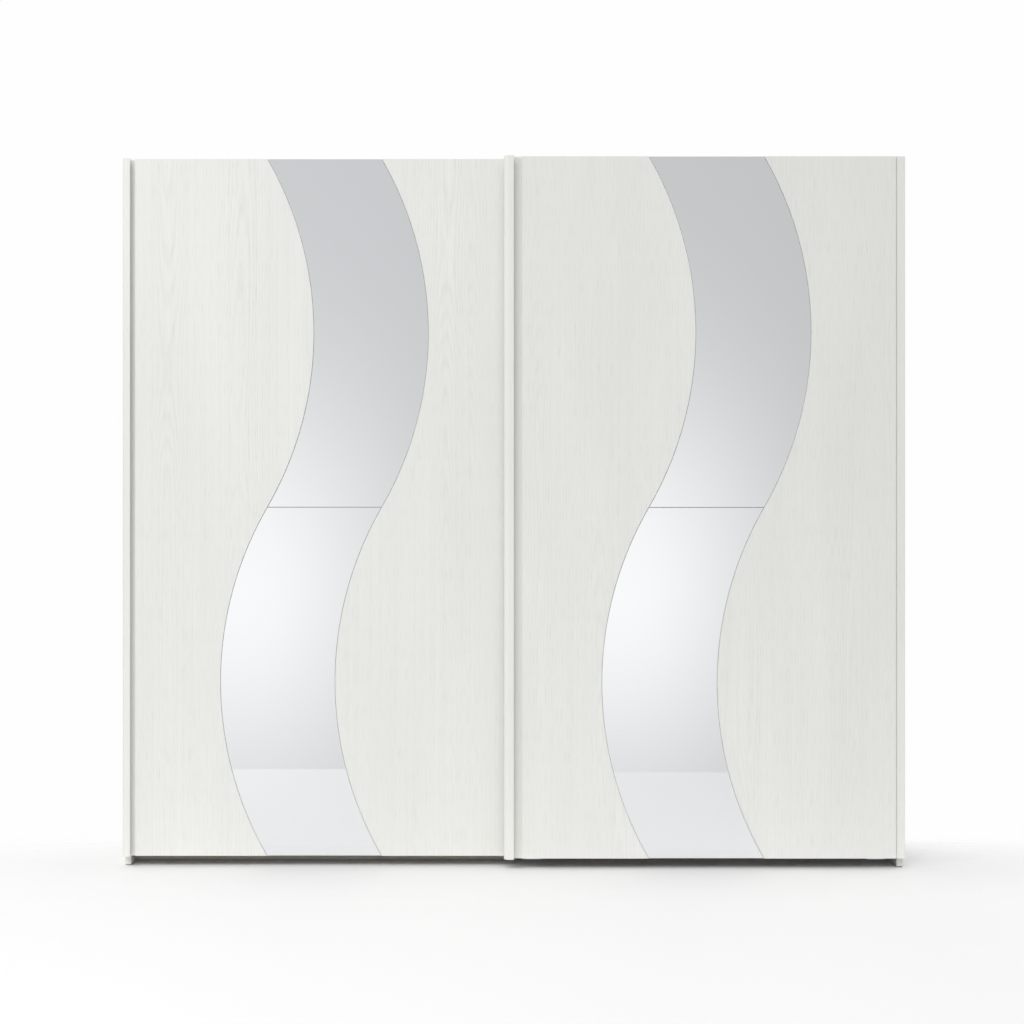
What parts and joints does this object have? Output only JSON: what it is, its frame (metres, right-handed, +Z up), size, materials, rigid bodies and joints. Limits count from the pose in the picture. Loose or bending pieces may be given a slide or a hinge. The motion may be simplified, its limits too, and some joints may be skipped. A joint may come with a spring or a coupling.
{
  "type": "sliding door wardrobe",
  "caption": "Wide off-white ash wardrobe with overlapping top-hung sliding doors, each with a full-height grip and an S-shaped mirror band.",
  "frame": {"origin": "middle of the footprint, on the floor", "axes": "+X to the right seen from the front, +Y to the back, +Z up"},
  "size_m": [2.75, 0.65, 2.5035],
  "materials": {
    "ash_front": "open-pore ash stained off-white, satin",
    "ash_grip": "solid ash stained off-white, satin",
    "mirror_glass": "polished silvered glass",
    "outside_board": "ash veneer stained off-white, satin",
    "inside_board": "pale textured melamine, matt",
    "back_board": "pale melamine back board, matt",
    "plinth_board": "ash veneer stained off-white, satin",
    "track_alloy": "anodised, satin",
    "rail_alloy": "anodised, satin",
    "zinc_steel": "bright zinc plate",
    "wheel_nylon": "natural nylon",
    "glide_plastic": "black plastic",
    "buffer_rubber": "black rubber"
  },
  "bodies": {
    "carcass": {"side_left": "outside_board", "side_right": "outside_board", "side_filler": "outside_board", "partition": "inside_board", "top_left": "inside_board", "top_right": "inside_board", "bottom_left": "inside_board", "bottom_right": "inside_board", "back_left": "back_board", "back_right": "back_board", "plinth_left": "plinth_board", "plinth_right": "plinth_board", "rear_rail_left": "inside_board", "rear_rail_right": "inside_board", "glides": "glide_plastic", "shelf_left": "inside_board", "shelf_right": "inside_board", "shelf_pins": "zinc_steel", "rail_left": "rail_alloy", "rail_right": "rail_alloy", "rail_sockets": "zinc_steel", "cam_fittings": "zinc_steel", "wall_brackets": "zinc_steel", "top_track": "track_alloy", "track_stops": "track_alloy", "stop_buffers": "buffer_rubber", "guide_track": "track_alloy", "carcass_screws": "zinc_steel"},
    "left_door": {"left_panel": "ash_front", "left_mirror_upper": "mirror_glass", "left_mirror_lower": "mirror_glass", "left_grip": "ash_grip", "left_edge_strip": "ash_grip", "left_hangers": "zinc_steel", "left_adjusters": "zinc_steel", "left_carriages": "track_alloy", "left_screws": "zinc_steel", "left_guide_arms": "zinc_steel"},
    "left_wheel_1": {"left_wheel_1": "wheel_nylon"},
    "left_wheel_2": {"left_wheel_2": "wheel_nylon"},
    "left_wheel_3": {"left_wheel_3": "wheel_nylon"},
    "left_wheel_4": {"left_wheel_4": "wheel_nylon"},
    "left_roller_1": {"left_roller_1": "wheel_nylon"},
    "left_roller_2": {"left_roller_2": "wheel_nylon"},
    "right_door": {"right_panel": "ash_front", "right_mirror_upper": "mirror_glass", "right_mirror_lower": "mirror_glass", "right_grip": "ash_grip", "right_edge_strip": "ash_grip", "right_hangers": "zinc_steel", "right_adjusters": "zinc_steel", "right_carriages": "track_alloy", "right_screws": "zinc_steel", "right_guide_arms": "zinc_steel"},
    "right_wheel_1": {"right_wheel_1": "wheel_nylon"},
    "right_wheel_2": {"right_wheel_2": "wheel_nylon"},
    "right_wheel_3": {"right_wheel_3": "wheel_nylon"},
    "right_wheel_4": {"right_wheel_4": "wheel_nylon"},
    "right_roller_1": {"right_roller_1": "wheel_nylon"},
    "right_roller_2": {"right_roller_2": "wheel_nylon"}
  },
  "joints": [
    {"name": "left_door_slide", "type": "slide", "parent": "carcass", "child": "left_door", "axis": [1, 0, 0], "range_m": [0, 1.276]},
    {"name": "left_wheel_1_spin", "type": "hinge", "parent": "left_door", "child": "left_wheel_1", "pos_m": [-1.277, -0.195, 2.4648], "axis": [0, 1, 0], "continuous": true},
    {"name": "left_wheel_2_spin", "type": "hinge", "parent": "left_door", "child": "left_wheel_2", "pos_m": [-1.213, -0.195, 2.4648], "axis": [0, 1, 0], "continuous": true},
    {"name": "left_wheel_3_spin", "type": "hinge", "parent": "left_door", "child": "left_wheel_3", "pos_m": [-0.131, -0.195, 2.4648], "axis": [0, 1, 0], "continuous": true},
    {"name": "left_wheel_4_spin", "type": "hinge", "parent": "left_door", "child": "left_wheel_4", "pos_m": [-0.067, -0.195, 2.4648], "axis": [0, 1, 0], "continuous": true},
    {"name": "left_roller_1_spin", "type": "hinge", "parent": "left_door", "child": "left_roller_1", "pos_m": [-1.275, -0.2, 0.0515], "axis": [0, 0, 1], "continuous": true},
    {"name": "left_roller_2_spin", "type": "hinge", "parent": "left_door", "child": "left_roller_2", "pos_m": [-0.069, -0.2, 0.0515], "axis": [0, 0, 1], "continuous": true},
    {"name": "right_door_slide", "type": "slide", "parent": "carcass", "child": "right_door", "axis": [1, 0, 0], "range_m": [-1.276, 0]},
    {"name": "right_wheel_1_spin", "type": "hinge", "parent": "right_door", "child": "right_wheel_1", "pos_m": [0.067, -0.145, 2.4648], "axis": [0, 1, 0], "continuous": true},
    {"name": "right_wheel_2_spin", "type": "hinge", "parent": "right_door", "child": "right_wheel_2", "pos_m": [0.131, -0.145, 2.4648], "axis": [0, 1, 0], "continuous": true},
    {"name": "right_wheel_3_spin", "type": "hinge", "parent": "right_door", "child": "right_wheel_3", "pos_m": [1.213, -0.145, 2.4648], "axis": [0, 1, 0], "continuous": true},
    {"name": "right_wheel_4_spin", "type": "hinge", "parent": "right_door", "child": "right_wheel_4", "pos_m": [1.277, -0.145, 2.4648], "axis": [0, 1, 0], "continuous": true},
    {"name": "right_roller_1_spin", "type": "hinge", "parent": "right_door", "child": "right_roller_1", "pos_m": [0.069, -0.16, 0.0515], "axis": [0, 0, 1], "continuous": true},
    {"name": "right_roller_2_spin", "type": "hinge", "parent": "right_door", "child": "right_roller_2", "pos_m": [1.275, -0.16, 0.0515], "axis": [0, 0, 1], "continuous": true}
  ],
  "couplings": [
    {"joint": "left_wheel_1_spin", "follows": "left_door_slide", "rad_per_m": 80},
    {"joint": "left_wheel_2_spin", "follows": "left_door_slide", "rad_per_m": 80},
    {"joint": "left_wheel_3_spin", "follows": "left_door_slide", "rad_per_m": 80},
    {"joint": "left_wheel_4_spin", "follows": "left_door_slide", "rad_per_m": 80},
    {"joint": "left_roller_1_spin", "follows": "left_door_slide", "rad_per_m": 111.11},
    {"joint": "left_roller_2_spin", "follows": "left_door_slide", "rad_per_m": 111.11},
    {"joint": "right_wheel_1_spin", "follows": "right_door_slide", "rad_per_m": 80},
    {"joint": "right_wheel_2_spin", "follows": "right_door_slide", "rad_per_m": 80},
    {"joint": "right_wheel_3_spin", "follows": "right_door_slide", "rad_per_m": 80},
    {"joint": "right_wheel_4_spin", "follows": "right_door_slide", "rad_per_m": 80},
    {"joint": "right_roller_1_spin", "follows": "right_door_slide", "rad_per_m": 111.11},
    {"joint": "right_roller_2_spin", "follows": "right_door_slide", "rad_per_m": 111.11}
  ]
}
